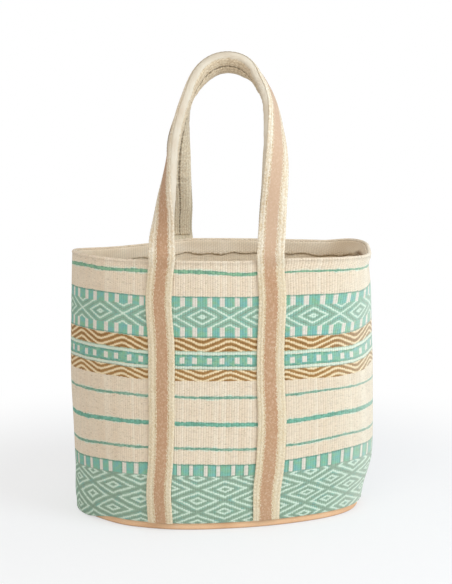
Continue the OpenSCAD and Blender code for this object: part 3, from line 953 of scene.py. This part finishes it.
lining_rings = disc_rings(5.6, -8.4, 8)[::-1]
lining_rings += [body(base_arc, 6.0, -7.2), body(base_arc, 8.0, -6.95), body(base_arc, 8.4, -7.3)]
lining_rings += disc_rings(6.9, -8.6, 8)
base_lining = base_piece(
    "base_lining_cloth", lining_rings, lining_canvas, ("base_lining",))


# ---------------------------------------------------------------- handles
FOLDS = {joint["child"]: np.array(joint["pos_m"]) / MM
         for joint in frame["record"]["behaviour"]["joints"]}
FOLD_Z = FOLDS["front_handle"][2]        # height of both fold lines
APEX_Y, APEX_Z = 16.405, 591.2           # middle of a handle at its top, from the middle plane
ARCH, LEG_BOW, SWAY = 124.0, 4.0, 10.0   # height of the arch, bow of a leg, sway of the top
PAD_W, PAD_T = 16.5, 7.0         # half width and half thickness of a padded handle
FLAT_LEN, SWELL_LEN = 26.0, 60.0 # length of its flat ends, and of their swelling
PAD_ARC, PAD_X, PAD_Y = measure_oval(PAD_W, PAD_T, 3.0)
FLAT_W, FLAT_T = 14.2, 0.9       # the same where the canvas lies flat behind the webbing
FLAT_ARC, FLAT_X, FLAT_Y = measure_oval(FLAT_W, FLAT_T, 4.0)
PAD_STATION = 1.1                # distance between the rings of points along a padded handle
PAD_KNOT = 5.2                   # pitch of the knots beside its seam
WEB_THICK, WEB_THINS = 2.8, 1.3  # thickness of the webbing, and how much it thins on the pad

# Where the sewn straps wander sideways, and how far up and down each of these reaches.
STRAY_HEIGHTS = ((300, 48), (145, 35), (55, 26))


def padded_point(s, inset):
    """Point and outward direction of the padded section, s along it from its outer face."""
    x = np.interp(s, PAD_ARC, PAD_X)
    y = -np.interp(s, PAD_ARC, PAD_Y)
    out = np.stack([powered(x, 2.0) / PAD_W, powered(y, 2.0) / PAD_T], -1)
    out = out / np.linalg.norm(out, axis=-1, keepdims=True)
    return np.stack([x * PAD_W, y * PAD_T], -1) - out * np.asarray(inset)[..., None], out


class Handle:
    """One handle and its two sewn straps. Distances p run along it from the left fold line to
    the right one, and are negative or past the end on the straps.

    side is -1 in front and 1 behind, and spacing lies between the middles of the two straps.
    draw says how far the left leg draws in, the power that sets how high up, and how far the
    right leg draws in. The webbing turns from facing outwards to full_turn degrees at the top.
    For the left and the right leg, turns has the shares of the height where a first turn
    starts and ends, its angle, and the share where the rest starts. strays has how far the
    left and the right sewn strap wander sideways at each of STRAY_HEIGHTS."""

    def __init__(self, name, side, spacing, draw, full_turn, turns, strays):
        self.name, self.side, self.spacing = name, side, spacing
        self.full_turn, self.turns, self.strays = full_turn, turns, strays
        self.fold_y = abs(FOLDS[name][1])
        self.reach = math.hypot(self.fold_y - APEX_Y, APEX_Z - FOLD_Z)
        self.lean = math.atan2(self.fold_y - APEX_Y, APEX_Z - FOLD_Z)
        leg, half = self.reach - ARCH, spacing / 2
        h = np.linspace(0, leg, 300)
        x = -half - LEG_BOW * np.sin(np.pi / 2 * h / leg)
        turn = np.linspace(np.pi, 0, 1000)
        arch = np.stack([(half + LEG_BOW) * np.cos(turn), leg + ARCH * np.sin(turn)], -1)
        line = np.concatenate([np.stack([x, h], -1), arch[1:-1], np.stack([-x, h], -1)[::-1]])
        share = line[:, 1] / self.reach
        drawn = draw[0] * np.sin(np.pi * share ** draw[1]) * eased(share / 0.2)
        pulled = -draw[2] * np.exp(-((share - 0.64) / 0.14) ** 2)
        line[:, 0] += SWAY * share ** 2 + np.where(line[:, 0] < 0, drawn, pulled)
        self.line = line
        self.along = np.concatenate([[0], np.cumsum(np.linalg.norm(np.diff(line, axis=0), axis=1))])
        self.length = self.along[-1]
        self.strap = FOLD_Z - CLOTH_Z - 0.6

    def low(self, p):
        """Distance above the nearer fold line, negative on the straps."""
        return np.minimum(p, self.length - p)

    def middle(self, p):
        inside = np.clip(p, 0, self.length)
        point = np.stack([np.interp(inside, self.along, self.line[:, i]) for i in (0, 1)], -1)
        point[..., 1] += np.minimum(self.low(p), 0)
        return point

    def frames(self, p):
        """Middle, direction across and direction of the outer face, in the handle's plane."""
        middle = self.middle(p)
        ahead = self.middle(p + 3) - self.middle(p - 3)
        ahead = ahead / np.linalg.norm(ahead, axis=-1, keepdims=True)
        outward = np.stack([-ahead[..., 1], ahead[..., 0]], -1)
        leg = np.where((p < self.length / 2)[..., None], self.turns[0], self.turns[1])
        share = middle[..., 1] / self.reach
        angle = leg[..., 2] * eased((share - leg[..., 0]) / (leg[..., 1] - leg[..., 0]))
        last = eased((share - leg[..., 3]) / (1 - leg[..., 3]))
        angle = np.radians(angle + (self.full_turn - leg[..., 2]) * last)
        zero = np.zeros_like(angle)
        face = np.stack([np.sin(angle) * outward[..., 0], np.sin(angle) * outward[..., 1],
                         np.cos(angle)], -1)
        across = np.cross(np.stack([ahead[..., 0], ahead[..., 1], zero], -1), face)
        return np.stack([middle[..., 0], middle[..., 1], zero], -1), across, face

    def leaned(self, q):
        c, s = math.cos(self.lean), math.sin(self.lean)
        y = -self.fold_y + q[..., 1] * s - q[..., 2] * c
        z = FOLD_Z + q[..., 1] * c + q[..., 2] * s
        return np.stack([q[..., 0], -self.side * y, z], -1)

    def on_handle(self, p, s, q):
        """Points at s across and q out of the face, for stations p of the handle."""
        middle, across, face = self.frames(p)
        return self.leaned(middle + across * s[..., None] + face * q[..., None])

    def on_cloth(self, p, s, q):
        """Points at s across and q out of the cloth, for stations p of the sewn straps."""
        left = p < self.length / 2
        u = np.where(left, arc_at(-self.spacing / 2, self.side), arc_at(self.spacing / 2, self.side))
        inward = np.where(left, 1, -1) * (1 if self.side < 0 else -1)
        down = np.clip(-self.low(p) / self.strap, 0, 1)
        across = inward * (s - STRAP_SPLAY * down ** 2)
        z = FOLD_Z + np.minimum(self.low(p), 0)
        for i, (height, reach) in enumerate(STRAY_HEIGHTS):
            stray = np.where(left, self.strays[0][i], self.strays[1][i])
            across = across + stray * np.exp(-((z - height) / reach) ** 2)
        return body(u + across, z, q + STRAP_OFF)

    def place(self, p, s, q):
        """Points of the whole band, from one sewn strap over the handle to the other."""
        p, s, q = np.broadcast_arrays(p, s, q)
        share = eased((self.low(p) + 16) / 24)[..., None]
        return self.on_cloth(p, s, q) * (1 - share) + self.on_handle(p, s, q) * share


handles = (
    Handle("front_handle", -1, 135.0, (12.0, 1.5, 3.0), 112.0,
           ((-0.12, 0.62, 86.0, 0.78), (0.2, 0.95, 80.0, 0.89)),
           ((-5.4, 1.0, -2.4), (3.0, 1.6, -2.0))),
    Handle("back_handle", 1, 127.0, (4.5, 0.65, 0.0), 88.0,
           ((0.33, 0.88, 90.0, 0.78), (0.33, 0.88, 90.0, 0.78)),
           ((-2.0, 1.0, -1.2), (1.6, 1.2, -1.0))),
)


def swell(low):
    """How far the padding has swollen: 0 is flat webbing."""
    return eased((low - FLAT_LEN) / SWELL_LEN)


def band_section(p, low):
    """Section of the webbing at stations p: across and out, wrapped over the padding."""
    top = STRAP_W / 2 * np.sin(np.radians(np.linspace(-90, 90, 27)))
    under = STRAP_W / 2 * np.sin(np.radians(np.linspace(80, -80, 11)))
    s = np.concatenate([top, under])[None, :]
    upper = np.concatenate([np.ones(27), np.zeros(11)])[None, :]
    swollen = swell(low)[:, None]
    edge = np.abs(s) / (STRAP_W / 2)
    thick = (WEB_THICK - WEB_THINS * swollen) * np.sqrt(np.clip(1 - edge ** 8, 0.04, 1))
    yarn = np.abs(np.sin(np.pi * p / SELVEDGE_PITCH))[:, None] ** 0.8
    selvedge = eased((np.abs(s) - 8.5) / 1.5)
    bump = selvedge * (0.3 * yarn - 0.15) * upper
    s = s * (1 + 0.028 * yarn * selvedge * edge ** 6)
    flat = np.stack([s + 0 * swollen, (upper - 0.5) * thick + bump], -1)
    skin, out = padded_point(s + 0 * swollen, 0 * swollen + 0 * s)
    wrapped = skin + out * (bump - (1 - upper) * thick)[..., None]
    section = flat * (1 - swollen[..., None]) + wrapped * swollen[..., None]
    return section, s + 0 * swollen + 60 * (1 - upper)


def webbing_band(handle):
    """The webbing of one handle: sewn strap, loop and sewn strap, in one length."""
    step = SELVEDGE_PITCH / 6
    p = np.arange(-handle.strap, handle.length + handle.strap, step)
    section, s = band_section(p, handle.low(p))
    grid = handle.place(p[:, None], section[..., 0], section[..., 1])
    chart = chart_of(np.concatenate([s, s[:, :1]], 1), p[:, None])
    name = handle.name.replace("handle", "webbing_band")
    return grid_piece(name, grid, chart, (webbing,), roll_cols=True)


def pad_piece(handle):
    """The padded canvas behind the webbing, tapering to flat ends above the rim."""
    start = 2.0
    p = np.arange(start, handle.length - start, PAD_STATION)
    low = handle.low(p)
    swollen = swell(low)[:, None]
    girth = PAD_ARC[-1] * 2
    arc = np.linspace(-girth / 2, girth / 2, 121)[None, :-1]
    inner = eased((np.abs(arc) - 20) / 12)
    seam_off = girth / 2 - np.abs(arc)
    seam = np.exp(-((seam_off / 1.5) ** 2))
    lips = np.exp(-(((seam_off - 3.4) / 2.4) ** 2)) + 0.7 * np.exp(-(((seam_off - 8.0) / 1.8) ** 2))
    folds = 0
    for pitch, phase, skew in ((11.0, 0.4, 0.15), (17.0, 2.1, -0.2), (29.0, 4.0, 0.1)):
        folds = folds + np.sin(2 * np.pi * (p[:, None] / pitch + skew * arc / 10) + phase)
    knots = 0.25 * lips * np.sin(2 * np.pi * p[:, None] / PAD_KNOT)
    relief = 0.5 * lips - 0.8 * seam + 0.16 * folds * inner + knots
    skin, out = padded_point(arc + 0 * p[:, None], 0.35 - relief * swollen)
    skin[..., 1] -= 0.7 * swollen
    flat_at = arc / PAD_ARC[-1] * FLAT_ARC[-1]
    flat = np.stack([FLAT_W * np.interp(flat_at, FLAT_ARC, FLAT_X),
                     -FLAT_T * np.interp(flat_at, FLAT_ARC, FLAT_Y) - 2.5], -1)
    section = flat * (1 - swollen[..., None]) + skin * swollen[..., None]
    taper = np.sqrt(np.clip((low - start + 0.4) / 3.0, 0.03, 1))[:, None]
    section[..., 1] = -1.9 + (section[..., 1] + 1.9) * np.where(swollen < 0.02, taper, 1)
    grid = handle.place(p[:, None], section[..., 0], section[..., 1])
    chart = chart_of(np.linspace(-girth / 2, girth / 2, grid.shape[1] + 1), p[:, None])
    canvas = pad_canvas[handle.name]
    piece = grid_piece(handle.name + "_pad", grid, chart, (canvas,), roll_cols=True)
    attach(piece, handle.name)
    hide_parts(handle.name + "_backing", handle.name + "_padding")


def stitches(name, starts, ends, radius=0.38):
    """Short raised stitches of thread between pairs of points."""
    starts, ends = np.asarray(starts), np.asarray(ends)
    way = ends - starts
    way = way / np.linalg.norm(way, axis=1, keepdims=True)
    first = np.cross(way, [0.31, 0.57, 0.76])
    first = first / np.linalg.norm(first, axis=1, keepdims=True)
    second = np.cross(way, first)
    points, faces, uv = [], [], []
    shares, widths = (0.0, 0.14, 0.5, 0.86, 1.0), (0.35, 0.9, 1.0, 0.9, 0.35)
    sides, last = 6, len(shares) - 1
    for start, end, one, two in zip(starts, ends, first, second):
        base = len(points)
        for share, width in zip(shares, widths):
            for angle in np.radians(np.arange(0, 360, 360 // sides)):
                side = one * math.cos(angle) + two * math.sin(angle)
                points.append(start + (end - start) * share + side * radius * width)
        for ring in range(last):
            for i in range(sides):
                j = (i + 1) % sides
                low, high = base + ring * sides, base + (ring + 1) * sides
                faces.append([low + i, low + j, high + j, high + i])
                uv += [(i * 0.4, ring), (i * 0.4 + 0.4, ring),
                       (i * 0.4 + 0.4, ring + 1), (i * 0.4, ring + 1)]
        faces.append([base + i for i in range(sides)])
        faces.append([base + last * sides + i for i in range(sides)])
        uv += [(0, 0)] * (2 * sides)
    return new_piece(name, points, faces, (thread,), uv)


webbing = webbing_material(handles[0].length)
# painted light: the back handle's canvas is the same canvas as the front's, painted paler
pad_canvas = {
    "front_handle": pad_material("front_pad_canvas", PAD_ARC[-1], 13.0,
                                 paint(240, 222, 192), paint(204, 178, 142)),
    "back_handle": pad_material("back_pad_canvas", PAD_ARC[-1], 21.0,
                                paint(252, 240, 214), paint(226, 204, 170)),
}
for handle in handles:
    side = handle.name.split("_")[0]
    band = webbing_band(handle)
    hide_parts(side + "_strap_left", side + "_strap_right", side + "_handle_webbing")
    start = np.array([0.0, handle.side * handle.fold_y, FOLD_Z]) * MM
    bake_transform(band)
    pad_piece(handle)

    # two rows of stitches down each sewn strap
    rows = []
    for offset in (-12.4, 12.4):
        for p in np.arange(-handle.strap + 6, -12, STITCH_PITCH):
            rows += [(p, offset), (handle.length - p, offset)]
    p, s = np.array(rows).T
    sewing = stitches(side + "_strap_stitches",
                      handle.place(p, s, 1.55), handle.place(p + STITCH_LEN, s, 1.55))
    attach(sewing, "bag")


hem_u = np.arange(0, ROUND, STITCH_PITCH)
hem_z = 331.0            # height of the row of stitches that holds the hem
hem_stitches = stitches(
    "hem_stitches", body(hem_u, hem_z, -6.0), body(hem_u + STITCH_LEN, hem_z, -6.0))
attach(hem_stitches, "bag")


# ---------------------------------------------------------------- camera
AWAY, ASIDE, EYE_Z = 1.750, 0.0068, 0.57236      # metres from the object, aside and up
AZIMUTH, TILT = math.radians(2.8), math.radians(80.833)
SENSOR, LENS = 36.0, 106.05                      # millimetres
camera_data = bpy.data.cameras.new("camera")
camera_data.sensor_fit, camera_data.sensor_width, camera_data.lens = "HORIZONTAL", SENSOR, LENS
camera = bpy.data.objects.new("camera", camera_data)
camera.location = (AWAY * math.sin(AZIMUTH) + ASIDE * math.cos(AZIMUTH),
                   -AWAY * math.cos(AZIMUTH) + ASIDE * math.sin(AZIMUTH), EYE_Z)
camera.rotation_euler = (TILT, 0, AZIMUTH)
bpy.context.collection.objects.link(camera)
bpy.context.scene.camera = camera
bpy.context.scene.view_settings.view_transform = "Standard"


# ---------------------------------------------------------------- stage and light
def stage_material():
    """A pale floor that fades to white away from the object, for the camera only."""
    p = Paint("stage_floor", roughness=0.9, specular=0.1)
    p.shader.inputs["Base Color"].default_value = (0.86, 0.86, 0.86, 1)
    split = p.add("SeparateXYZ")
    p.link(p.place(), split.inputs[0])
    x, y = Num(p.tree, split.outputs[0]), Num(p.tree, split.outputs[1])
    far = (x * x + y * y).op("SQRT").step(0.32, 0.75)
    rays = Num(p.tree, p.add("LightPath").outputs["Is Camera Ray"])
    white, mixer = p.add("Emission"), p.add("MixShader")
    white.inputs["Color"].default_value = (1, 1, 1, 1)
    output = p.tree.nodes["Material Output"]
    p.link(far * rays * 0.4 + rays * 0.6, mixer.inputs[0])
    p.link(p.shader.outputs[0], mixer.inputs[1])
    p.link(white.outputs[0], mixer.inputs[2])
    p.link(mixer.outputs[0], output.inputs["Surface"])
    return p.material


FLOOR_HALF, FLOOR_Z = 9000, -0.4
floor_points = [(x * FLOOR_HALF, y * FLOOR_HALF, FLOOR_Z)
                for x, y in ((-1, -1), (1, -1), (1, 1), (-1, 1))]
floor = new_piece("floor", floor_points, [[0, 1, 2, 3]], (stage_material(),))

world = bpy.data.worlds.new("studio")
bpy.context.scene.world = world
world.use_nodes = True
nodes, links = world.node_tree.nodes, world.node_tree.links
soft = nodes["Background"]
soft.inputs["Color"].default_value = (0.97, 0.98, 1.0, 1)
soft.inputs["Strength"].default_value = 0.62
plain, paths, choose = (nodes.new(kind) for kind in (
    "ShaderNodeBackground", "ShaderNodeLightPath", "ShaderNodeMixShader"))
plain.inputs["Color"].default_value = (1, 1, 1, 1)
plain.inputs["Strength"].default_value = 1.0
camera_ray, clear_ray, gloss_ray = (
    Num(world.node_tree, paths.outputs[kind])
    for kind in ("Is Camera Ray", "Is Transmission Ray", "Is Glossy Ray"))
white_share = camera_ray.op("MAXIMUM", clear_ray).op("MAXIMUM", gloss_ray)
links.new(white_share.socket, choose.inputs[0])
links.new(soft.outputs[0], choose.inputs[1])
links.new(plain.outputs[0], choose.inputs[2])
links.new(choose.outputs[0], nodes["World Output"].inputs["Surface"])


def area_light(name, place, target, size, power, colour):
    data = bpy.data.lights.new(name, "AREA")
    data.shape, data.size, data.energy, data.color = "DISK", size, power, colour
    lamp = bpy.data.objects.new(name, data)
    lamp.location = place
    way = np.array(target) - np.array(place)
    lamp.rotation_euler = (math.acos(-way[2] / np.linalg.norm(way)), 0,
                           math.atan2(way[1], way[0]) - math.pi / 2)
    bpy.context.collection.objects.link(lamp)


area_light("key", (1.9, -1.1, 1.3), (0, 0, 0.25), 1.4, 36, (0.77, 0.89, 1.0))
area_light("front", (-0.3, -2.0, 1.9), (0, 0, 0.25), 1.8, 13.8, (1.0, 0.90, 0.80))
